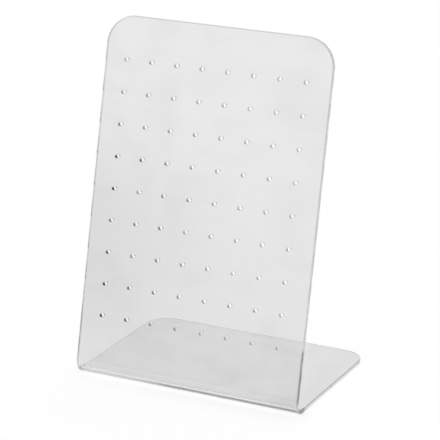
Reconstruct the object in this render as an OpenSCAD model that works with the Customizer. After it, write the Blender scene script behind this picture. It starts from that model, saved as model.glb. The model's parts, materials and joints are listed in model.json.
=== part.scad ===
// Earring display stand: one clear sheet, cut flat, drilled with a grid of small holes
// and bent once along a straight line into a panel that leans back over its own foot.
// Millimetres, Z up. The origin is on the table, in the middle of the stand's footprint:
// X runs along the bend, the panel's front looks towards -Y and the foot reaches back to +Y.

/* [Sheet] */
// Thickness of the clear sheet
sheet_t = 3; // [2:0.5:5]
// Width of the stand, from side to side
stand_w = 165; // [120:5:240]

/* [Panel] */
// Height of the panel's top edge above the table
stand_h = 240; // [180:5:320]
// Angle by which the panel leans back from upright, in degrees
lean = 13; // [6:1:22]
// Radius of the panel's two top corners
top_corner_r = 20; // [6:1:40]

/* [Foot] */
// Depth of the stand on the table, from the front of the bend to the foot's back edge
stand_d = 116; // [90:1:150]
// Radius of the foot's two back corners
foot_corner_r = 16; // [6:1:35]

/* [Bend] */
// Radius on the inside of the bend between the panel and the foot
bend_r = 6; // [3:0.5:12]

/* [Earring holes] */
// Diameter of each hole
hole_d = 3; // [1.5:0.1:4]
// Distance between neighbouring holes in a row
col_pitch = 18.7; // [14:0.1:30]
// Distance between neighbouring rows, along the panel
row_pitch = 21.6; // [16:0.1:35]
// Distance from the panel's top edge down to the first row, along the panel
top_row_drop = 29.4; // [12:0.1:45]
// Least distance from a side edge to the outermost hole
side_clear = 12; // [8:0.5:20]
// Least distance from the bend up to the lowest row, along the panel
low_row_clear = 25; // [10:1:45]
// Distance by which the grid sits to the right of the sheet's middle line
grid_offset = -1; // [-3:0.1:3]

/* [Hidden] */
// Facets of the drawn curves: the bend, the corners and the holes
$fn = 96;
// The cutters of the holes stand this far proud of both faces of the sheet
overcut = 1;
// The bend runs on into each flat by this many degrees, and lies inside the flats' faces
// by a thousandth of a millimetre, so that the three lengths fuse along clean lines
seam_lap = 0.5;
seam_inset = 0.001;

// Outside of the bend, and the line that the sheet is bent about
bend_outer_r = bend_r + sheet_t;
bend_y = -stand_d / 2 + bend_outer_r;
bend_z = bend_outer_r;
// The bend turns the sheet from flat on the table up to the leaning panel
bend_angle = 90 + lean;

// Flat lengths on either side of the bend
foot_len = stand_d / 2 - bend_y;
panel_len = (stand_h - bend_z - bend_outer_r * sin(lean)) / cos(lean);

// As many columns and rows as the panel has room for
hole_cols = 1 + floor((stand_w - 2 * side_clear) / col_pitch);
hole_rows = 1 + floor((panel_len - top_row_drop - low_row_clear) / row_pitch);

// One flat end of the sheet, seen square on: the straight end lies on the X axis,
// the other end has two rounded corners
module sheet_end(length, corner_r) {
  translate([-stand_w / 2, 0]) square([stand_w, length - corner_r]);
  translate([corner_r - stand_w / 2, 0]) square([stand_w - 2 * corner_r, length]);
  for (side = [-1, 1])
    translate([side * (stand_w / 2 - corner_r), length - corner_r]) circle(r = corner_r);
}

// Places its children in the flat panel's own plane: X across, Y up the panel from the
// bend, and Z out of the front face, with the front face at Z = sheet_t
module on_panel() {
  translate([0, bend_y, bend_z])
    rotate([90 - lean, 0, 0])
      translate([0, 0, bend_r])
        children();
}

// The flat panel above the bend
module panel_sheet() {
  on_panel() linear_extrude(sheet_t) sheet_end(panel_len, top_corner_r);
}

// The flat foot behind the bend, on the table
module foot_sheet() {
  translate([0, bend_y, 0]) linear_extrude(sheet_t) sheet_end(foot_len, foot_corner_r);
}

// The bent strip between them, which keeps the sheet's full thickness all round
module line_bend() {
  translate([-stand_w / 2, bend_y, bend_z])
    rotate([0, 90, 0])
      rotate([0, 0, -bend_angle - seam_lap])
        rotate_extrude(angle = bend_angle + 2 * seam_lap)
          translate([bend_r + seam_inset, seam_inset])
            square([sheet_t - 2 * seam_inset, stand_w - 2 * seam_inset]);
}

// The grid of straight holes, square to the panel, which the earring posts go through
module earring_holes() {
  on_panel()
    for (row = [0 : hole_rows - 1], col = [0 : hole_cols - 1])
      translate([
        grid_offset + (col - (hole_cols - 1) / 2) * col_pitch,
        panel_len - top_row_drop - row * row_pitch,
        -overcut
      ])
        cylinder(h = sheet_t + 2 * overcut, d = hole_d);
}

// The whole stand: one sheet, one bend, one grid of holes
module bent_sheet() {
  color([0.90, 0.91, 0.92, 0.45])
    difference() {
      union() {
        panel_sheet();
        line_bend();
        foot_sheet();
      }
      earring_holes();
    }
}

bent_sheet();
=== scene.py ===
"""Earring display stand: one clear acrylic sheet, drilled with a grid of small holes and bent once.

The sheet is meshed as its flat blank, the way it is cut and drilled, and the blank is then
carried round the bend line to its place on the stand. Lengths are in metres, in the part's frame.
"""
import json
import logging
import math
from abc import ABC, abstractmethod
from dataclasses import dataclass, field
from enum import Enum, IntEnum
from typing import ClassVar

import bpy
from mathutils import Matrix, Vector
from mathutils.geometry import delaunay_2d_cdt


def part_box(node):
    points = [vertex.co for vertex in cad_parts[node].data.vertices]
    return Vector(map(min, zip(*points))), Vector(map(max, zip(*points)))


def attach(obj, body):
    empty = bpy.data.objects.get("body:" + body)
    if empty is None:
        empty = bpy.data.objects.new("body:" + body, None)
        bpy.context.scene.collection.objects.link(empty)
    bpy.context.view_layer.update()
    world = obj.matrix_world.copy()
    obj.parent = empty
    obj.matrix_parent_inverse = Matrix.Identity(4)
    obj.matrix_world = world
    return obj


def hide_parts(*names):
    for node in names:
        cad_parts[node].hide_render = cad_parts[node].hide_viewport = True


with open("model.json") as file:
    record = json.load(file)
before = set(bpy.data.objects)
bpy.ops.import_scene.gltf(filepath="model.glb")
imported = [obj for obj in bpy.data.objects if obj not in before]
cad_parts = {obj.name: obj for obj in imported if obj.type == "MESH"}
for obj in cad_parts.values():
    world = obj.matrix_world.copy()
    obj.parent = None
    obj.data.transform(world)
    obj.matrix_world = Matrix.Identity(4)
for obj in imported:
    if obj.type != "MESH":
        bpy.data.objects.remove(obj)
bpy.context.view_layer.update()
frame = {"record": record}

MM = 0.001
NODE = "bent_sheet"
BODY = "root"
NUMBER = "NodeSocketFloat"
VECTOR = "NodeSocketVector"
Term = bpy.types.NodeSocket | float | tuple[float, ...]

log = logging.getLogger("earring_stand")


class Finish(IntEnum):
    """Which finish a face of the sheet carries; the numbers are its material slots."""

    FACE = 0
    CUT_EDGE = 1
    HOLE_WALL = 2


class Side(Enum):
    """The two broad sides of the sheet, by the sign of their normal through the thickness."""

    FRONT = 1
    BACK = -1


@dataclass(frozen=True)
class StandSizes:
    """Sizes of the finished stand, in metres and radians."""

    width: float
    depth: float
    height: float
    sheet: float
    lean: float
    hole_r: float
    bend_r: float = 6 * MM
    top_corner_r: float = 20 * MM
    foot_corner_r: float = 16 * MM
    edge_ease: float = 0.7 * MM
    hole_ease: float = 0.15 * MM

    @classmethod
    def from_frame(cls, record: dict) -> "StandSizes":
        """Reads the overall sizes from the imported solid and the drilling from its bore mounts.

        Args:
            record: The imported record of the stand.

        Returns:
            The sizes of the stand.
        """
        low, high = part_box(NODE)
        bore = next(m for m in record["mounts"] if m["kind"] == "bore")
        return cls(
            width=high.x - low.x,
            depth=2 * high.y,
            height=high.z - low.z,
            sheet=bore["dims"]["length_mm"] * MM,
            lean=math.atan2(bore["axis"][2], -bore["axis"][1]),
            hole_r=bore["dims"]["r_mm"] * MM,
        )

    @property
    def outer_bend_r(self) -> float:
        """Radius on the outside of the bend."""
        return self.bend_r + self.sheet

    @property
    def bend_centre(self) -> Vector:
        """The line that the sheet is bent about, at the middle of its width."""
        return Vector((0, -self.depth / 2 + self.outer_bend_r, self.outer_bend_r))

    @property
    def bend_arc(self) -> float:
        """Length of the bend along the middle of the sheet's thickness."""
        return (math.pi / 2 + self.lean) * (self.bend_r + self.sheet / 2)

    @property
    def panel_length(self) -> float:
        """Flat length of the panel, from the end of the bend to the top edge."""
        rise = self.height - self.outer_bend_r * (1 + math.sin(self.lean))
        return rise / math.cos(self.lean)

    @property
    def foot_length(self) -> float:
        """Flat length of the foot, from the end of the bend to the back edge."""
        return self.depth - self.outer_bend_r


@dataclass(frozen=True)
class BendMap:
    """Carries the flat blank to the bent stand.

    A place on the blank has u across the sheet, s along it (up the panel from the end of the
    bend, negative through the bend and the foot) and w through it, from the back face to the front.
    """

    sizes: StandSizes

    def tilt(self, s: float) -> float:
        """Angle of the sheet's front normal above level, at a distance along the blank."""
        turned = s / (self.sizes.bend_r + self.sizes.sheet / 2)
        return max(-math.pi / 2, min(self.sizes.lean, self.sizes.lean + turned))

    def axes(self, s: float) -> tuple[Vector, Vector]:
        """Directions along the sheet and out of its front face.

        Args:
            s: Distance along the blank.

        Returns:
            The direction of growing s and the front normal.
        """
        tilt = self.tilt(s)
        return Vector((0, math.sin(tilt), math.cos(tilt))), Vector((0, -math.cos(tilt), math.sin(tilt)))

    def place(self, u: float, s: float, w: float) -> Vector:
        """The bent place of a point of the blank.

        Args:
            u: Distance across the sheet.
            s: Distance along the sheet.
            w: Distance through the sheet.

        Returns:
            The point on the stand.
        """
        along, out = self.axes(s)
        flat = max(s, 0.0) + min(s + self.sizes.bend_arc, 0.0)
        return self.sizes.bend_centre + Vector((u, 0, 0)) + along * flat + out * (self.sizes.bend_r + w)

    def direct(self, s: float, normal: Vector) -> Vector:
        """The bent direction of a direction on the blank.

        Args:
            s: Distance along the sheet.
            normal: Direction as (u, s, w).

        Returns:
            The direction on the stand.
        """
        along, out = self.axes(s)
        return Vector((normal.x, 0, 0)) + along * normal.y + out * normal.z

    def blank_of(self, point: Vector) -> tuple[float, float]:
        """Where a point of the panel lies on the blank.

        Args:
            point: A point on the panel, in the part's frame.

        Returns:
            The distances u and s.
        """
        along, _ = self.axes(0.0)
        return point.x, (point - self.sizes.bend_centre).dot(along)


@dataclass
class BlankMesh:
    """A mesh that grows in the blank's coordinates and welds the vertices that coincide."""

    points: list[Vector] = field(default_factory=list)
    normals: list[Vector] = field(default_factory=list)
    faces: list[tuple[int, ...]] = field(default_factory=list)
    finishes: list[Finish] = field(default_factory=list)
    known: dict[tuple[int, int, int], int] = field(default_factory=dict)
    weld: float = 1e-8

    def vertex(self, u: float, s: float, w: float, normal: Vector) -> int:
        """Adds a vertex, or finds the one that is already there.

        Args:
            u: Distance across the sheet.
            s: Distance along the sheet.
            w: Distance through the sheet.
            normal: Its shading normal on the blank.

        Returns:
            The vertex's number.
        """
        key = (round(u / self.weld), round(s / self.weld), round(w / self.weld))
        if key not in self.known:
            self.known[key] = len(self.points)
            self.points.append(Vector((u, s, w)))
            self.normals.append(normal.normalized())
        return self.known[key]

    def face(self, corners: list[int], finish: Finish) -> None:
        """Adds a face.

        Args:
            corners: Its vertices, anticlockwise from outside.
            finish: The finish that it carries.
        """
        self.faces.append(tuple(corners))
        self.finishes.append(finish)

    def bridge(self, lower: list[int], upper: list[int], finish: Finish, closed: bool = True) -> None:
        """Joins two rows of vertices with quads.

        Args:
            lower: The first row, anticlockwise round the side that shows.
            upper: The second row, with as many vertices.
            finish: The finish of the quads.
            closed: Whether the rows run all the way round.
        """
        count = len(lower)
        for i in range(count if closed else count - 1):
            j = (i + 1) % count
            self.face([lower[i], lower[j], upper[j], upper[i]], finish)


@dataclass(frozen=True)
class RimPoint:
    """A point of the sheet's outline with the outline's outward normal there."""

    u: float
    s: float
    normal: Vector


@dataclass
class BentSheet:
    """The stand's one piece: leaning panel, line bend and foot, with polished edges and holes."""

    sizes: StandSizes
    holes: list[tuple[float, float]]
    bend_rows: int = 44
    corner_steps: int = 20
    hole_steps: int = 32
    ease_steps: int = 6
    columns: int = 12
    row_length: float = 12 * MM
    cell_ring: float = 0.42
    place_digits: int = 7
    line_slack: float = 0.01 * MM
    fill_slack: float = 1e-9
    mesh: BlankMesh = field(default_factory=BlankMesh)

    @property
    def map(self) -> BendMap:
        """The bend that carries the blank to the stand."""
        return BendMap(self.sizes)

    @property
    def rows(self) -> list[float]:
        """Places along the straight side edges where the mesh has a row, from the foot up."""
        z = self.sizes
        spans = [
            (-z.bend_arc - z.foot_length + z.foot_corner_r, -z.bend_arc, None),
            (-z.bend_arc, 0.0, self.bend_rows),
            (0.0, z.panel_length - z.top_corner_r, None),
        ]
        found: list[float] = []
        for low, high, count in spans:
            steps = count or max(1, round((high - low) / self.row_length))
            found += [low + (high - low) * i / steps for i in range(steps)]
        return [*found, spans[-1][1]]

    def outline(self, inset: float) -> list[RimPoint]:
        """The blank's outline, anticlockwise from the foot's right-hand corner.

        Args:
            inset: How far the line lies inside the finished edge.

        Returns:
            Its points, as many for every inset.
        """
        z = self.sizes
        half = z.width / 2
        foot_s = -z.bend_arc - z.foot_length + z.foot_corner_r
        top_s = z.panel_length - z.top_corner_r
        right = [RimPoint(half - inset, s, Vector((1, 0, 0))) for s in self.rows]
        left = [RimPoint(inset - half, s, Vector((-1, 0, 0))) for s in reversed(self.rows)]

        def corner(u: float, s: float, radius: float, quarter: int) -> list[RimPoint]:
            """One rounded corner, without the point that the next side begins with."""
            found = []
            for i in range(1, self.corner_steps):
                angle = math.pi / 2 * (quarter + i / self.corner_steps)
                away = Vector((math.cos(angle), math.sin(angle), 0))
                found.append(RimPoint(u + away.x * (radius - inset), s + away.y * (radius - inset), away))
            return found

        def end_edge(radius: float, s: float, way: int) -> list[RimPoint]:
            """The straight end edge between two rounded corners."""
            away = Vector((0, way, 0))
            reach = half - radius
            places = [way * reach * (1 - 2 * i / self.columns) for i in range(self.columns + 1)]
            return [RimPoint(u, s - way * inset, away) for u in places]

        return [
            *right,
            *corner(half - z.top_corner_r, top_s, z.top_corner_r, 0),
            *end_edge(z.top_corner_r, z.panel_length, 1),
            *corner(z.top_corner_r - half, top_s, z.top_corner_r, 1),
            *left,
            *corner(z.foot_corner_r - half, foot_s, z.foot_corner_r, 2),
            *end_edge(z.foot_corner_r, foot_s - z.foot_corner_r, -1),
            *corner(half - z.foot_corner_r, foot_s, z.foot_corner_r, 3),
        ]

    def ease_profile(self, ease: float) -> list[tuple[float, float, float]]:
        """Cross-section of an edge whose two corners are eased to a small radius.

        Args:
            ease: Radius of the eased corners.

        Returns:
            Points from the front face to the back: inset, w, and the normal's angle out of the edge.
        """
        quarter = [math.pi / 2 * i / self.ease_steps for i in range(self.ease_steps + 1)]
        sheet = self.sizes.sheet
        front = [
            (ease * (1 - math.cos(a)), sheet - ease * (1 - math.sin(a)), a)
            for a in reversed(quarter)
        ]
        back = [(inset, sheet - w, -a) for inset, w, a in reversed(front)]
        return [*front, *back]

    def build_outer_edge(self) -> None:
        """Meshes the sheet's polished outer edge, all the way round."""
        rings = []
        for inset, w, angle in self.ease_profile(self.sizes.edge_ease):
            lift = Vector((0, 0, math.sin(angle)))
            rings.append([
                self.mesh.vertex(p.u, p.s, w, p.normal * math.cos(angle) + lift)
                for p in self.outline(inset)
            ])
        for upper, lower in zip(rings, rings[1:]):
            self.mesh.bridge(lower, upper, Finish.CUT_EDGE)

    def hole_ring(self, centre: tuple[float, float], radius: float, w: float, angle: float) -> list[int]:
        """One ring of vertices round a hole.

        Args:
            centre: The hole's place on the blank.
            radius: The ring's radius.
            w: Its place through the sheet.
            angle: Angle of the normal out of the hole's wall.

        Returns:
            The ring's vertices.
        """
        found = []
        for k in range(self.hole_steps):
            turn = 2 * math.pi * k / self.hole_steps
            away = Vector((math.cos(turn), math.sin(turn), 0))
            normal = Vector((0, 0, math.sin(angle))) - away * math.cos(angle)
            u, s = centre[0] + away.x * radius, centre[1] + away.y * radius
            found.append(self.mesh.vertex(u, s, w, normal))
        return found

    def build_hole(self, centre: tuple[float, float]) -> None:
        """Meshes the wall and the two eased rims of one hole."""
        rings = [
            self.hole_ring(centre, self.sizes.hole_r + inset, w, angle)
            for inset, w, angle in self.ease_profile(self.sizes.hole_ease)
        ]
        for upper, lower in zip(rings, rings[1:]):
            self.mesh.bridge(upper, lower, Finish.HOLE_WALL)

    def grid_lines(self, axis: int) -> list[float]:
        """Lines between the holes' cells.

        Args:
            axis: 0 for lines across the sheet's width, 1 for lines along its length.

        Returns:
            Their places, in growing order, half a pitch past the outermost holes too.
        """
        centres = sorted({round(h[axis], self.place_digits) for h in self.holes})
        pitch = (centres[-1] - centres[0]) / (len(centres) - 1)
        return [centres[0] + (i - 0.5) * pitch for i in range(len(centres) + 1)]

    def cell_rim(self, k: int, low: tuple[float, float], high: tuple[float, float]) -> tuple[float, float]:
        """A point on a cell's rectangular border that faces a step of its hole's ring.

        Args:
            k: Step round the hole, from the right.
            low: The cell's lower left corner.
            high: Its upper right corner.

        Returns:
            The point's place on the blank.
        """
        eighth = self.hole_steps // 8
        side, step = divmod((k + eighth) % self.hole_steps, 2 * eighth)
        share = step / (2 * eighth)
        corners = [(high[0], low[1]), high, (low[0], high[1]), low, (high[0], low[1])]
        start, end = corners[side], corners[side + 1]
        return start[0] + (end[0] - start[0]) * share, start[1] + (end[1] - start[1]) * share

    def build_cells(self, side: Side) -> None:
        """Meshes the hole grid on one broad side, with quads from each hole to its cell's border."""
        w, normal = self.side_plane(side)
        us, ss = self.grid_lines(0), self.grid_lines(1)
        inner_r = self.sizes.hole_r + self.sizes.hole_ease
        for centre in self.holes:
            col = max(i for i, u in enumerate(us) if u < centre[0])
            row = max(i for i, s in enumerate(ss) if s < centre[1])
            low, high = (us[col], ss[row]), (us[col + 1], ss[row + 1])
            rings = []
            for share in (0.0, self.cell_ring, 1.0):
                ring = []
                for k in range(self.hole_steps):
                    turn = 2 * math.pi * k / self.hole_steps
                    near = (centre[0] + inner_r * math.cos(turn), centre[1] + inner_r * math.sin(turn))
                    far = self.cell_rim(k, low, high)
                    u = near[0] + (far[0] - near[0]) * share
                    s = near[1] + (far[1] - near[1]) * share
                    ring.append(self.mesh.vertex(u, s, w, normal))
                rings.append(ring)
            for inner, outer in zip(rings, rings[1:]):
                self.broad_bridge(outer, inner, side, closed=True)

    def side_plane(self, side: Side) -> tuple[float, Vector]:
        """Place through the sheet and normal of a broad side."""
        return (self.sizes.sheet if side is Side.FRONT else 0.0), Vector((0, 0, side.value))

    def broad_bridge(self, first: list[int], second: list[int], side: Side, closed: bool) -> None:
        """Joins two rows of a broad side, whichever way that side faces."""
        if side is Side.FRONT:
            self.mesh.bridge(first, second, Finish.FACE, closed)
        else:
            self.mesh.bridge(second, first, Finish.FACE, closed)

    def fill(self, loops: list[list[tuple[float, float]]], side: Side) -> None:
        """Fills the flat area between loops with triangles.

        Args:
            loops: The area's border, then the border of the rectangle left out of it, if any.
            side: The broad side that is filled.
        """
        w, normal = self.side_plane(side)
        points: list[Vector] = []
        edges: list[tuple[int, int]] = []
        for loop in loops:
            start = len(points)
            points += [Vector(p) for p in loop]
            edges += [(start + i, start + (i + 1) % len(loop)) for i in range(len(loop))]
        made = delaunay_2d_cdt(points, edges, [], 1, self.fill_slack)
        verts, triangles = made[0], made[2]
        gap = loops[1] if len(loops) > 1 else []
        for triangle in triangles:
            centre = sum((verts[i] for i in triangle), Vector((0, 0))) / 3
            if gap and min(p[0] for p in gap) < centre.x < max(p[0] for p in gap) and (
                min(p[1] for p in gap) < centre.y < max(p[1] for p in gap)
            ):
                continue
            corners = [self.mesh.vertex(verts[i].x, verts[i].y, w, normal) for i in triangle]
            self.mesh.face(corners if side is Side.FRONT else corners[::-1], Finish.FACE)

    def column_places(self) -> list[float]:
        """Places across the sheet of the columns through the bend, from left to right."""
        half = self.sizes.width / 2 - self.sizes.edge_ease
        return [half * (2 * i / self.columns - 1) for i in range(self.columns + 1)]

    def build_broad_side(self, side: Side) -> None:
        """Meshes one broad side: the panel round its hole grid, the bend and the foot."""
        w, normal = self.side_plane(side)
        rim = [(p.u, p.s) for p in self.outline(self.sizes.edge_ease)]
        low = -self.sizes.bend_arc
        slack = self.line_slack
        across = self.column_places()

        panel = [p for p in rim if p[1] > -slack]
        foot = [p for p in rim if p[1] < low + slack]
        first = next(i for i, p in enumerate(foot) if p[0] < 0 and abs(p[1] - low) < slack)
        foot = foot[first:] + foot[:first]
        panel_border = [*panel, *[(u, 0.0) for u in across[1:-1]]]
        foot_border = [*foot, *[(u, low) for u in reversed(across[1:-1])]]

        us, ss = self.grid_lines(0), self.grid_lines(1)
        grid_border = self.grid_border(us, ss)
        self.fill([panel_border, grid_border], side)
        self.build_cells(side)
        self.fill([foot_border], side)

        bend_rows = [s for s in self.rows if low - slack < s < slack]
        rows = [[self.mesh.vertex(u, s, w, normal) for u in across] for s in bend_rows]
        for lower, upper in zip(rows, rows[1:]):
            self.broad_bridge(lower, upper, side, closed=False)

    def grid_border(self, us: list[float], ss: list[float]) -> list[tuple[float, float]]:
        """The border of the whole hole grid, with every point that its cells have there.

        Args:
            us: The grid's lines across the width.
            ss: The grid's lines along the length.

        Returns:
            The border's points, anticlockwise.
        """
        quarter = self.hole_steps // 4

        def spread(lines: list[float]) -> list[float]:
            """The lines with each span divided as the cells divide it."""
            fine = [a + (b - a) * i / quarter for a, b in zip(lines, lines[1:]) for i in range(quarter)]
            return [*fine, lines[-1]]

        fine_u, fine_s = spread(us), spread(ss)
        return [
            *[(u, ss[0]) for u in fine_u[:-1]],
            *[(us[-1], s) for s in fine_s[:-1]],
            *[(u, ss[-1]) for u in reversed(fine_u[1:])],
            *[(us[0], s) for s in reversed(fine_s[1:])],
        ]

    def build(self) -> bpy.types.Object:
        """Meshes the whole sheet and bends it.

        Returns:
            The sheet's object.
        """
        self.build_outer_edge()
        for centre in self.holes:
            self.build_hole(centre)
        for side in Side:
            self.build_broad_side(side)

        blank, bend = self.mesh, self.map
        data = bpy.data.meshes.new("clear_sheet")
        data.from_pydata([bend.place(*p) for p in blank.points], [], blank.faces)
        data.polygons.foreach_set("material_index", [int(f) for f in blank.finishes])
        data.polygons.foreach_set("use_smooth", [True] * len(data.polygons))
        normals = [bend.direct(p.y, n) for p, n in zip(blank.points, blank.normals)]
        data.normals_split_custom_set_from_vertices(normals)
        flat = data.attributes.new("blank", "FLOAT_VECTOR", "POINT")
        flat.data.foreach_set("vector", [x for p in blank.points for x in p])
        data.update()
        piece = bpy.data.objects.new("clear_sheet", data)
        bpy.context.scene.collection.objects.link(piece)
        return piece

    def dress(self, piece: bpy.types.Object, finishes: dict[Finish, bpy.types.Material]) -> None:
        """Gives the sheet its finishes and its place in the frame.

        Args:
            piece: The sheet's object.
            finishes: The material of each finish.
        """
        for finish in Finish:
            piece.data.materials.append(finishes[finish])
        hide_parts(NODE)
        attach(piece, BODY)


def principled(name: str) -> tuple[bpy.types.Material, bpy.types.Node]:
    """A new material with nodes.

    Args:
        name: The material's name.

    Returns:
        The material and its Principled shader.
    """
    material = bpy.data.materials.new(name)
    material.use_nodes = True
    shader = next(n for n in material.node_tree.nodes if n.type == "BSDF_PRINCIPLED")
    return material, shader


@dataclass(frozen=True)
class Clouds:
    """A cloudy pattern, by its clouds to the metre across, along and through the sheet."""

    scale: tuple[float, float, float]
    detail: float
    warp: float = 0.0
    start: tuple[float, float, float] = (0.0, 0.0, 0.0)


@dataclass(frozen=True)
class Strip:
    """A soft-sided strip across the sheet, by its places along the blank."""

    low: float
    high: float
    fade: float


class Graph:
    """Adds nodes and links to one node tree."""

    mix_sockets: ClassVar[tuple[int, int, int]] = (0, 2, 3)

    def __init__(self, tree: bpy.types.NodeTree) -> None:
        """Takes the tree that grows."""
        self.tree = tree

    def node(self, kind: str, **settings: object) -> bpy.types.Node:
        """Adds a node.

        Args:
            kind: The node's type.
            settings: Its properties.

        Returns:
            The node.
        """
        made = self.tree.nodes.new(kind)
        for name, value in settings.items():
            setattr(made, name, value)
        return made

    def join(self, term: Term, target: bpy.types.NodeSocket) -> None:
        """Links a socket to an input, or writes a plain value there."""
        if isinstance(term, bpy.types.NodeSocket):
            self.tree.links.new(term, target)
        else:
            target.default_value = term

    def feed(self, node: bpy.types.Node, *terms: Term) -> bpy.types.NodeSocket:
        """Fills a node's first inputs in order.

        Args:
            node: The node.
            terms: Sockets or plain values.

        Returns:
            The node's first output.
        """
        for target, term in zip(node.inputs, terms):
            self.join(term, target)
        return node.outputs[0]

    def math(self, operation: str, *terms: Term) -> bpy.types.NodeSocket:
        """The result of a Math node."""
        return self.feed(self.node("ShaderNodeMath", operation=operation), *terms)

    def vector(self, operation: str, *terms: Term) -> bpy.types.NodeSocket:
        """The vector that a Vector Math node gives."""
        return self.feed(self.node("ShaderNodeVectorMath", operation=operation), *terms)

    def measure(self, operation: str, *terms: Term) -> bpy.types.NodeSocket:
        """The number that a Vector Math node gives."""
        node = self.node("ShaderNodeVectorMath", operation=operation)
        self.feed(node, *terms)
        return node.outputs["Value"]

    def ramp(self, value: Term, low: float, high: float, at_low: float = 0.0,
             at_high: float = 1.0) -> bpy.types.NodeSocket:
        """Maps a value smoothly from one span to another.

        Args:
            value: The value.
            low: Where the span starts.
            high: Where it ends.
            at_low: The result at and below the start.
            at_high: The result at and above the end.

        Returns:
            The mapped value.
        """
        node = self.node("ShaderNodeMapRange", interpolation_type="SMOOTHSTEP")
        return self.feed(node, value, low, high, at_low, at_high)

    def blend(self, share: Term, first: Term, second: Term) -> bpy.types.NodeSocket:
        """Mixes two numbers.

        Args:
            share: How much of the second is taken.
            first: The first number.
            second: The second number.

        Returns:
            The mixed number.
        """
        node = self.node("ShaderNodeMix", data_type="FLOAT")
        for target, term in zip(self.mix_sockets, (share, first, second)):
            self.join(term, node.inputs[target])
        return node.outputs[0]

    def parts(self, vector: bpy.types.NodeSocket) -> tuple[bpy.types.NodeSocket, ...]:
        """The three numbers of a vector."""
        node = self.node("ShaderNodeSeparateXYZ")
        self.feed(node, vector)
        return tuple(node.outputs)

    def noise(self, place: bpy.types.NodeSocket, clouds: Clouds) -> bpy.types.NodeSocket:
        """A cloudy noise over the sheet.

        Args:
            place: Where on the blank.
            clouds: The pattern.

        Returns:
            The noise, near 0.5.
        """
        node = self.node("ShaderNodeTexNoise", noise_dimensions="3D")
        for name, value in (("Scale", 1.0), ("Detail", clouds.detail), ("Distortion", clouds.warp)):
            node.inputs[name].default_value = value
        moved = self.vector("ADD", place, clouds.start)
        self.join(self.vector("MULTIPLY", moved, clouds.scale), node.inputs["Vector"])
        return node.outputs[0]

    def blank(self) -> bpy.types.NodeSocket:
        """Where the shaded point lies on the flat blank, as u, s and w in metres."""
        return self.node("ShaderNodeAttribute", attribute_name="blank").outputs["Vector"]

    def effect(self, kind: "type[Effect]", **terms: Term) -> bpy.types.Node:
        """Places a shared effect.

        Args:
            kind: The effect.
            terms: What its inputs get, by their names with underscores for spaces.

        Returns:
            The effect's node.
        """
        node = self.node("ShaderNodeGroup", node_tree=kind.tree())
        for name, term in terms.items():
            self.join(term, node.inputs[name.replace("_", " ").capitalize()])
        return node

    def strip(self, strip: Strip) -> bpy.types.NodeSocket:
        """How far the shaded point lies in a strip across the sheet."""
        node = self.effect(BendStrip, place=self.blank(), low=strip.low, high=strip.high, fade=strip.fade)
        return node.outputs["Strip"]

    def bump(self, height: bpy.types.NodeSocket, depth: float) -> bpy.types.NodeSocket:
        """The normal of a surface with relief.

        Args:
            height: The relief, from 0 to 1.
            depth: How deep it is, in metres.

        Returns:
            The normal.
        """
        node = self.node("ShaderNodeBump")
        node.inputs["Strength"].default_value = 1.0
        node.inputs["Distance"].default_value = depth
        self.join(height, node.inputs["Height"])
        return node.outputs["Normal"]


class Effect(ABC):
    """A shader node group that is built once and placed in every material that shows it."""

    name: ClassVar[str]
    takes: ClassVar[dict[str, str]]
    gives: ClassVar[tuple[str, ...]]

    @classmethod
    def tree(cls) -> bpy.types.NodeTree:
        """The group, which is built at its first use."""
        made = bpy.data.node_groups.get(cls.name)
        if made is not None:
            return made
        made = bpy.data.node_groups.new(cls.name, "ShaderNodeTree")
        for name, kind in cls.takes.items():
            made.interface.new_socket(name=name, in_out="INPUT", socket_type=kind)
        for name in cls.gives:
            made.interface.new_socket(name=name, in_out="OUTPUT", socket_type=NUMBER)
        graph = Graph(made)
        results = cls.grow(graph, graph.node("NodeGroupInput").outputs)
        ends = graph.node("NodeGroupOutput").inputs
        for name, result in results.items():
            graph.join(result, ends[name])
        return made

    @classmethod
    @abstractmethod
    def grow(cls, graph: Graph, given: bpy.types.NodeOutputs) -> dict[str, bpy.types.NodeSocket]:
        """Builds the inside of the group.

        Args:
            graph: The group's graph.
            given: What the group takes.

        Returns:
            What it gives, by name.
        """


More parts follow.
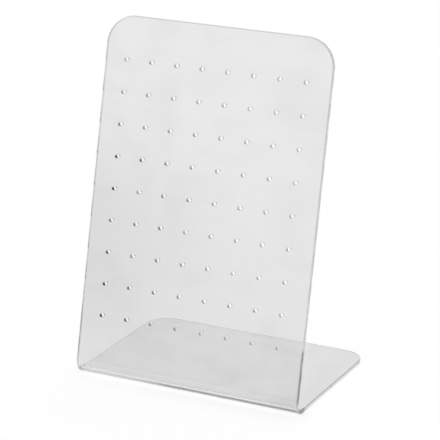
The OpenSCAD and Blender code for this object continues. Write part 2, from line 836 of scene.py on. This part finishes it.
class HandlingFilmAndShadow(Effect):
    """The cloudy film that hands and wiping leave, with smears and fine rub lines, and a painted shadow: a
    soft darker patch round a given place.
    """

    name = "handling_film_and_shadow"
    takes = {"Place": VECTOR, "Cover": NUMBER, "Hold": VECTOR, "Hold reach": NUMBER, "Hold cover": NUMBER}
    gives = ("Film and shadow", "Rub")
    smears: ClassVar[Clouds] = Clouds((21, 17, 0), 4.0, 0.9)
    wipes: ClassVar[Clouds] = Clouds((16, 78, 0), 3.0, 0.5, (0.31, 0.17, 0))
    rubs: ClassVar[Clouds] = Clouds((34, 2600, 0), 2.0, 0.2, (0.07, 0.41, 0))
    wiped_share: ClassVar[float] = 0.35
    body_span: ClassVar[tuple[float, float]] = (0.42, 0.66)
    painted_shadow_span: ClassVar[tuple[float, float]] = (1.0, 0.15)
    rub_span: ClassVar[tuple[float, float]] = (0.6, 0.78)

    @classmethod
    def grow(cls, graph: Graph, given: bpy.types.NodeOutputs) -> dict[str, bpy.types.NodeSocket]:
        """Builds the film from clouds and wiped streaks, and adds the painted shadow, thickest at its centre.
        """
        place = given["Place"]
        streaked = graph.blend(cls.wiped_share, graph.noise(place, cls.smears), graph.noise(place, cls.wipes))
        body = graph.ramp(streaked, *cls.body_span)
        # Painted shadow: a soft patch round a given place, added to the film so that the sheet is darker
        # there.
        away = graph.measure("DISTANCE", graph.vector("MULTIPLY", place, (1, 1, 0)), given["Hold"])
        painted_shadow_patch = graph.ramp(graph.math("DIVIDE", away, given["Hold reach"]), *cls.painted_shadow_span)
        spread = graph.math("MULTIPLY", body, given["Cover"])
        film_and_shadow = graph.math("ADD", spread, graph.math("MULTIPLY", painted_shadow_patch, given["Hold cover"]))
        lines = graph.ramp(graph.noise(place, cls.rubs), *cls.rub_span)
        return {"Film and shadow": graph.math("MINIMUM", film_and_shadow, 1.0), "Rub": graph.math("MULTIPLY", lines, body)}


class ToolMarks(Effect):
    """The fine, uneven lines that a cutter or a drill leaves, softened by polishing."""

    name = "tool_marks"
    takes = {"Place": VECTOR, "Marks": VECTOR, "Polish": VECTOR}
    gives = ("Height", "Dull")
    lines: ClassVar[Clouds] = Clouds((1, 1, 1), 1.5)
    ripple: ClassVar[Clouds] = Clouds((1, 1, 1), 2.0)
    height_share: ClassVar[float] = 0.45
    dull_share: ClassVar[float] = 0.6
    dull_span: ClassVar[tuple[float, float]] = (0.4, 0.62)

    @classmethod
    def grow(cls, graph: Graph, given: bpy.types.NodeOutputs) -> dict[str, bpy.types.NodeSocket]:
        """Builds lines at one scale under a slow polishing ripple at another."""
        place = given["Place"]
        lines = graph.noise(graph.vector("MULTIPLY", place, given["Marks"]), cls.lines)
        slow = graph.noise(graph.vector("MULTIPLY", place, given["Polish"]), cls.ripple)
        dull = graph.ramp(graph.blend(cls.dull_share, lines, slow), *cls.dull_span)
        return {"Height": graph.blend(cls.height_share, lines, slow), "Dull": dull}


class BendStrip(Effect):
    """A soft-sided strip across the sheet, which places painted shade along and beside the bend."""

    name = "bend_strip"
    takes = {"Place": VECTOR, "Low": NUMBER, "High": NUMBER, "Fade": NUMBER}
    gives = ("Strip",)

    @classmethod
    def grow(cls, graph: Graph, given: bpy.types.NodeOutputs) -> dict[str, bpy.types.NodeSocket]:
        """Builds a soft-sided strip between two places along the blank."""
        _, along, _ = graph.parts(given["Place"])
        over = graph.math("DIVIDE", graph.math("SUBTRACT", along, given["Low"]), given["Fade"])
        under = graph.math("DIVIDE", graph.math("SUBTRACT", given["High"], along), given["Fade"])
        return {"Strip": graph.math("MULTIPLY", graph.ramp(over, 0, 1), graph.ramp(under, 0, 1))}


class HoleToneAndShade(Effect):
    """Random tone from hole to hole, and painted shade: a dark spot low on the left of each hole's wall,
    deepest towards the panel's lower left.
    """

    name = "hole_tone_and_shade"
    takes = {"Place": VECTOR, "Corner": VECTOR, "Pitch": VECTOR, "Panel": VECTOR}
    gives = ("Spot", "Chance", "Spot shade")
    spot_turn: ClassVar[float] = math.radians(208)
    spot_half: ClassVar[float] = math.radians(62)
    across_span: ClassVar[tuple[float, ...]] = (0.3, -0.42, 0.3, 1.0)
    along_span: ClassVar[tuple[float, ...]] = (0.8, 0.6, 0.6, 1.0)
    chance_span: ClassVar[tuple[float, ...]] = (-0.4, 0.4)

    @classmethod
    def grow(cls, graph: Graph, given: bpy.types.NodeOutputs) -> dict[str, bpy.types.NodeSocket]:
        """Finds each point's own hole, its turn round that hole, and how deep the painted shade is there."""
        from_corner = graph.vector("SUBTRACT", given["Place"], given["Corner"])
        local = graph.vector("DIVIDE", from_corner, given["Pitch"])
        cell = graph.vector("MULTIPLY", graph.vector("FLOOR", local), (1, 1, 0))
        chance = graph.feed(graph.node("ShaderNodeTexWhiteNoise", noise_dimensions="3D"), cell)
        away = graph.vector("SUBTRACT", graph.vector("FRACTION", local), (0.5, 0.5, 0))
        away = graph.vector("MULTIPLY", graph.vector("MULTIPLY", away, given["Pitch"]), (1, 1, 0))
        aim = (math.cos(cls.spot_turn), math.sin(cls.spot_turn), 0)
        lined_up = graph.measure("DOT_PRODUCT", graph.vector("NORMALIZE", away), aim)
        spot = graph.ramp(lined_up, math.cos(cls.spot_half), math.cos(cls.spot_half / 2))
        across, along, _ = graph.parts(graph.vector("DIVIDE", given["Place"], given["Panel"]))
        left, low = graph.ramp(across, *cls.across_span), graph.ramp(along, *cls.along_span)
        # Painted shade: deeper towards the panel's lower left, and different at random from hole to hole.
        shaded_side = graph.math("MULTIPLY", left, low)
        spot_shade = graph.math("MULTIPLY", shaded_side, graph.ramp(chance, *cls.chance_span))
        return {"Spot": spot, "Chance": chance, "Spot shade": spot_shade}


@dataclass(frozen=True)
class ClearAcrylic(ABC):
    """The clear, colourless body that every finish of the sheet shares."""

    sizes: StandSizes
    ior: float = 1.49
    haze_per_metre: float = 0.12
    clear: float = 0.97
    # Painted shadow: its centre as shares of the width and the panel's length, its reach, and how much
    # thicker than the film it is.
    painted_shadow_place: tuple[float, float] = (-0.5, 0.36)
    hold_reach: float = 110 * MM
    hold_cover: float = 1.8

    def start(self, name: str) -> tuple[bpy.types.Material, Graph, bpy.types.Node]:
        """Makes a clear material with the body's own faint absorption.

        Args:
            name: The material's name.

        Returns:
            The material, its graph and its Principled shader.
        """
        material, shader = principled(name)
        shader.inputs["IOR"].default_value = self.ior
        shader.inputs["Transmission Weight"].default_value = 1.0
        graph = Graph(material.node_tree)
        body = graph.node("ShaderNodeVolumeAbsorption")
        body.inputs["Color"].default_value = (0, 0, 0, 1)
        body.inputs["Density"].default_value = self.haze_per_metre
        out = next(n for n in material.node_tree.nodes if n.type == "OUTPUT_MATERIAL")
        graph.join(body.outputs[0], out.inputs["Volume"])
        return material, graph, shader

    def film_and_shadow(self, graph: Graph, cover: float) -> bpy.types.Node:
        """Places the handling film with its painted shadow.

        Args:
            graph: The material's graph.
            cover: How thick the film is.

        Returns:
            The film's node.
        """
        # The painted shadow sits at the panel's left edge, about a third of the way up.
        hold = (self.painted_shadow_place[0] * self.sizes.width, self.painted_shadow_place[1] * self.sizes.panel_length, 0)
        return graph.effect(HandlingFilmAndShadow, place=graph.blank(), cover=cover, hold=hold,
                            hold_reach=self.hold_reach, hold_cover=cover * self.hold_cover)

    @abstractmethod
    def material(self) -> bpy.types.Material:
        """Builds the material."""


@dataclass(frozen=True)
class PolishedFace(ClearAcrylic):
    """The sheet's broad faces: cast, clear and a little handled."""

    film_and_shadow_tint: float = 0.86
    film_cover: float = 0.4
    smooth: float = 0.0
    smeared: float = 0.03
    ripple: Clouds = Clouds((28, 19, 0), 1.0, 0.3)
    ripple_depth: float = 0.02 * MM
    # Painted shade: a darker line along the outside of the bend where it rests on the table, deeper towards
    # the right.
    rest_line: Strip = Strip(-7.5 * MM, -4.9 * MM, 0.6 * MM)
    front_share: tuple[float, float] = (0.4, 0.6)
    contact_shade: float = 0.16
    contact_shade_span: tuple[float, ...] = (-45 * MM, -10 * MM, 0.35, 1.0)
    # Painted shade: the bend and the foot are tinted darker than the panel.
    foot_shade_tint: float = 0.94
    foot_shade_span: tuple[float, float] = (3 * MM, -3 * MM)

    def material(self) -> bpy.types.Material:
        """Builds the material: film all over with a painted shadow low on the left, a line of painted shade
        under the bend, and painted shade over the bend and foot.
        """
        material, graph, shader = self.start("clear_face")
        film_and_shadow = self.film_and_shadow(graph, self.film_cover)
        across, along, through = graph.parts(graph.blank())
        outside = graph.ramp(through, *[share * self.sizes.sheet for share in self.front_share])
        # Painted shade along the outside of the bend where it meets the table.
        contact_shade = graph.math("MULTIPLY", graph.strip(self.rest_line), outside)
        contact_shade = graph.math("MULTIPLY", contact_shade, graph.ramp(across, *self.contact_shade_span))
        tint = graph.blend(film_and_shadow.outputs["Film and shadow"], self.clear, self.film_and_shadow_tint)
        tint = graph.blend(contact_shade, tint, self.contact_shade)
        # Painted shade over the bend and the foot.
        foot_shade = graph.ramp(along, *self.foot_shade_span, 1.0, self.foot_shade_tint)
        graph.join(graph.math("MULTIPLY", tint, foot_shade), shader.inputs["Base Color"])
        smear = graph.math("MAXIMUM", film_and_shadow.outputs["Film and shadow"], film_and_shadow.outputs["Rub"])
        graph.join(graph.blend(smear, self.smooth, self.smeared), shader.inputs["Roughness"])
        ripple = graph.noise(graph.blank(), self.ripple)
        graph.join(graph.bump(ripple, self.ripple_depth), shader.inputs["Normal"])
        return material


@dataclass(frozen=True)
class CutEdge(ClearAcrylic):
    """The outer edge: sawn, scraped and flame-polished, with painted shade that darkens it beside the bend
    and round the bend's end.
    """

    film_and_shadow_tint: float = 0.98
    film_cover: float = 0.5
    edge_clear: float = 1.0
    # Painted shade on the cut edge: how dark it gets, where it lies, and how much lighter it stays towards
    # the back.
    edge_shade_tint: float = 0.26
    shade_and_gloss_strip: Strip = Strip(-3 * MM, 35 * MM, 3 * MM)
    bend_end_shade: Strip = Strip(-16 * MM, -6.5 * MM, 1.5 * MM)
    front_share: tuple[float, float] = (0.2, 0.8)
    back_shade_share: float = 0.45
    smooth: float = 0.01
    dulled: float = 0.1
    glazed: float = 0.03
    saw_marks: tuple[float, float, float] = (620, 620, 40)
    polish: tuple[float, float, float] = (95, 95, 20)
    mark_depth: float = 0.012 * MM

    def material(self) -> bpy.types.Material:
        """Builds the material: saw marks under the polish, and strips of painted shade beside the bend."""
        material, graph, shader = self.start("cut_edge")
        film_and_shadow = self.film_and_shadow(graph, self.film_cover)
        marks = graph.effect(ToolMarks, place=graph.blank(), marks=self.saw_marks, polish=self.polish)
        _, _, through = graph.parts(graph.blank())
        span = [share * self.sizes.sheet for share in self.front_share]
        front = graph.ramp(through, *span, self.back_shade_share, 1.0)
        # Painted shade: the edge darkens over the lowest 35 mm of the panel, most at the front, and round the
        # end of the bend. The same strip also evens the edge's roughness.
        shade_and_gloss = graph.strip(self.shade_and_gloss_strip)
        edge_shade = graph.math("MULTIPLY", shade_and_gloss, front)
        edge_shade = graph.math("MAXIMUM", edge_shade, graph.strip(self.bend_end_shade))
        tint = graph.blend(film_and_shadow.outputs["Film and shadow"], self.edge_clear, self.film_and_shadow_tint)
        graph.join(graph.blend(edge_shade, tint, self.edge_shade_tint), shader.inputs["Base Color"])
        grain = graph.blend(marks.outputs["Dull"], self.smooth, self.dulled)
        graph.join(graph.blend(shade_and_gloss, grain, self.glazed), shader.inputs["Roughness"])
        graph.join(graph.bump(marks.outputs["Height"], self.mark_depth), shader.inputs["Normal"])
        return material


@dataclass(frozen=True, kw_only=True)
class DrilledWall(ClearAcrylic):
    """The holes' walls: drilled and left as they were, each a little different."""

    corner: tuple[float, float]
    pitch: tuple[float, float]
    clean: float = 0.98
    worn: float = 0.9
    worn_share: float = 0.4
    # Tint of the painted shade spot in the holes.
    spot_shade_tint: float = 0.0
    glare: float = 0.2
    smooth: float = 0.01
    rough: float = 0.08
    grain_share: float = 0.5
    drill_marks: tuple[float, float, float] = (260, 260, 5200)
    polish: tuple[float, float, float] = (240, 240, 260)
    mark_depth: float = 0.02 * MM

    def material(self) -> bpy.types.Material:
        """Builds the material: drill marks, and a spot of painted shade low on the left of each wall."""
        material, graph, shader = self.start("hole_wall")
        shader.inputs["Specular IOR Level"].default_value = self.glare
        marks = graph.effect(ToolMarks, place=graph.blank(), marks=self.drill_marks, polish=self.polish)
        panel = (self.sizes.width, self.sizes.panel_length, 1)
        tone_and_shade = graph.effect(HoleToneAndShade, place=graph.blank(), corner=(*self.corner, 0),
                             pitch=(*self.pitch, 1), panel=panel).outputs
        tint = graph.blend(tone_and_shade["Chance"], self.clean, self.worn)
        tint = graph.blend(graph.math("MULTIPLY", marks.outputs["Dull"], self.worn_share), tint, self.worn)
        # Painted shade: the spot is tinted down to black where it is deepest.
        tint = graph.blend(graph.math("MULTIPLY", tone_and_shade["Spot"], tone_and_shade["Spot shade"]), tint, self.spot_shade_tint)
        graph.join(tint, shader.inputs["Base Color"])
        grain = graph.blend(self.grain_share, tone_and_shade["Chance"], marks.outputs["Dull"])
        graph.join(graph.blend(grain, self.smooth, self.rough), shader.inputs["Roughness"])
        graph.join(graph.bump(marks.outputs["Height"], self.mark_depth), shader.inputs["Normal"])
        return material


def heading(azimuth: float, elevation: float = 0.0) -> tuple[float, float, float]:
    """The direction of a place in the studio.

    Args:
        azimuth: Turn from the stand's front towards its right, in degrees.
        elevation: Rise above the floor, in degrees.

    Returns:
        A unit vector.
    """
    az, el = math.radians(azimuth), math.radians(elevation)
    return math.sin(az) * math.cos(el), -math.cos(az) * math.cos(el), math.sin(el)


@dataclass(frozen=True)
class SoftPatch:
    """A round part of the studio's walls and ceiling with its own level of light, in degrees."""

    azimuth: float
    elevation: float
    core: float
    reach: float
    level: float

    def share(self, graph: Graph, looking: bpy.types.NodeSocket) -> bpy.types.NodeSocket:
        """How far a direction lies in the patch."""
        lined_up = graph.measure("DOT_PRODUCT", looking, heading(self.azimuth, self.elevation))
        return graph.ramp(lined_up, math.cos(math.radians(self.reach)), math.cos(math.radians(self.core)))


@dataclass(frozen=True)
class LowWall:
    """A dark table edge along part of the horizon, in degrees."""

    azimuth: float
    half: float
    fade: float
    full_below: float
    gone_above: float
    level: float

    def share(self, graph: Graph, looking: bpy.types.NodeSocket) -> bpy.types.NodeSocket:
        """How far a direction lies in the strip."""
        flat = graph.vector("NORMALIZE", graph.vector("MULTIPLY", looking, (1, 1, 0)))
        lined_up = graph.measure("DOT_PRODUCT", flat, heading(self.azimuth))
        beside = graph.ramp(
            lined_up, math.cos(math.radians(self.half + self.fade)), math.cos(math.radians(self.half)))
        _, _, rise = graph.parts(looking)
        low, high = math.sin(math.radians(self.full_below)), math.sin(math.radians(self.gone_above))
        return graph.math("MULTIPLY", beside, graph.ramp(rise, low, high, 1.0, 0.0))


@dataclass(frozen=True)
class Studio:
    """A plain pale table in an evenly lit white tent, with darker flags that draw the clear edges."""

    table_size: float = 8.0
    table_drop: float = 0.1 * MM
    table_white: float = 0.86
    seen_lift: float = 0.455
    glass_lift: float = 0.3
    tent: float = 0.83
    patches: tuple[SoftPatch | LowWall, ...] = (
        SoftPatch(0, 90, 25, 45, 0.4),
        SoftPatch(262, 22, 12, 38, 0.4),
        SoftPatch(150, 10, 8, 26, 0.3),
        LowWall(325, 25, 25, 1.5, 8, 0.3),
    )

    def build_table(self) -> bpy.types.Object:
        """Makes the table top, which is white to the camera and keeps the stand's shadow.

        Returns:
            The table's object.
        """
        half = self.table_size / 2
        corners = [(x * half, y * half, -self.table_drop) for x, y in ((-1, -1), (1, -1), (1, 1), (-1, 1))]
        data = bpy.data.meshes.new("floor")
        data.from_pydata(corners, [], [(0, 1, 2, 3)])
        data.update()
        floor = bpy.data.objects.new("floor", data)
        bpy.context.scene.collection.objects.link(floor)
        material, shader = principled("floor")
        graph = Graph(material.node_tree)
        shader.inputs["Base Color"].default_value = (self.table_white,) * 3 + (1,)
        shader.inputs["Roughness"].default_value = 1.0
        shader.inputs["Specular IOR Level"].default_value = 0.0
        shader.inputs["Emission Color"].default_value = (1, 1, 1, 1)
        ray = graph.node("ShaderNodeLightPath").outputs
        in_glass = graph.math("MAXIMUM", ray["Is Glossy Ray"], ray["Is Transmission Ray"])
        lift = graph.math("MULTIPLY_ADD", ray["Is Camera Ray"], self.seen_lift,
                          graph.math("MULTIPLY", in_glass, self.glass_lift))
        graph.join(lift, shader.inputs["Emission Strength"])
        data.materials.append(material)
        return floor

    def build_tent(self) -> bpy.types.World:
        """Makes the world: an even tent with its flags, and plain white where the camera sees it.

        Returns:
            The world.
        """
        world = bpy.data.worlds.new("tent")
        world.use_nodes = True
        graph = Graph(world.node_tree)
        looking = graph.node("ShaderNodeTexCoord").outputs["Generated"]
        level: Term = self.tent
        for patch in self.patches:
            level = graph.blend(patch.share(graph, looking), level, patch.level)
        seen = graph.node("ShaderNodeLightPath").outputs["Is Camera Ray"]
        background = world.node_tree.nodes["Background"]
        background.inputs["Color"].default_value = (1, 1, 1, 1)
        graph.join(graph.blend(seen, level, 1.0), background.inputs["Strength"])
        return world

    def build(self) -> None:
        """Builds the table and the tent."""
        self.build_table()
        bpy.context.scene.world = self.build_tent()


@dataclass(frozen=True)
class PhotoCamera:
    """Camera at the photograph's viewing angle, worked out from the outline and the hole grid."""

    azimuth: float = math.radians(26.8074)
    elevation: float = math.radians(18.7667)
    distance: float = 1411.94 * MM
    aim_height: float = 115.5 * MM
    aim_right: float = 24.782 * MM
    aim_up: float = 7.827 * MM
    lens: float = 178.932
    sensor: float = 36.0

    def build(self, sizes: StandSizes) -> None:
        """Places the camera.

        Args:
            sizes: The stand's sizes; the aim is measured from the sharp corner that the panel's
                front and the table would make.
        """
        az, el = self.azimuth, self.elevation
        back = Vector((math.sin(az) * math.cos(el), -math.cos(az) * math.cos(el), math.sin(el)))
        right = Vector((math.cos(az), math.sin(az), 0))
        up = back.cross(right)
        sharp = sizes.outer_bend_r * (1 + math.sin(sizes.lean)) / math.cos(sizes.lean)
        aim = Vector((0, sizes.bend_centre.y - sharp, self.aim_height))
        aim += right * self.aim_right + up * self.aim_up
        data = bpy.data.cameras.new("photo_camera")
        data.lens, data.sensor_width = self.lens, self.sensor
        camera = bpy.data.objects.new("photo_camera", data)
        bpy.context.scene.collection.objects.link(camera)
        camera.location = aim + back * self.distance
        camera.rotation_euler = back.to_track_quat("Z", "Y").to_euler()
        bpy.context.scene.camera = camera


def set_light_paths(scene: bpy.types.Scene, bounces: int = 96) -> None:
    """Lets light run its whole way inside the clear sheet, sharp from end to end.

    Args:
        scene: The scene.
        bounces: How many times a ray may turn.
    """
    scene.view_settings.view_transform = "Standard"
    scene.cycles.blur_glossy = 0.0
    scene.cycles.max_bounces = bounces
    scene.cycles.transmission_bounces = bounces
    scene.cycles.glossy_bounces = bounces
    scene.cycles.transparent_max_bounces = bounces


def main() -> None:
    """Builds the stand and its studio."""
    logging.basicConfig(level=logging.INFO, format="%(name)s: %(message)s")
    record = frame["record"]
    sizes = StandSizes.from_frame(record)
    bend = BendMap(sizes)
    holes = [bend.blank_of(Vector(m["pos_m"])) for m in record["mounts"] if m["kind"] == "bore"]
    sheet = BentSheet(sizes, holes)
    piece = sheet.build()
    us, ss = sheet.grid_lines(0), sheet.grid_lines(1)
    pitch = (us[1] - us[0], ss[1] - ss[0])
    sheet.dress(piece, {
        Finish.FACE: PolishedFace(sizes).material(),
        Finish.CUT_EDGE: CutEdge(sizes).material(),
        Finish.HOLE_WALL: DrilledWall(sizes, corner=(us[0], ss[0]), pitch=pitch).material(),
    })
    log.info("%s: %d faces, %d holes", piece.name, len(piece.data.polygons), len(holes))
    Studio().build()
    PhotoCamera().build(sizes)
    set_light_paths(bpy.context.scene)
    log.info("studio and camera placed")


if __name__ == "__main__":
    main()
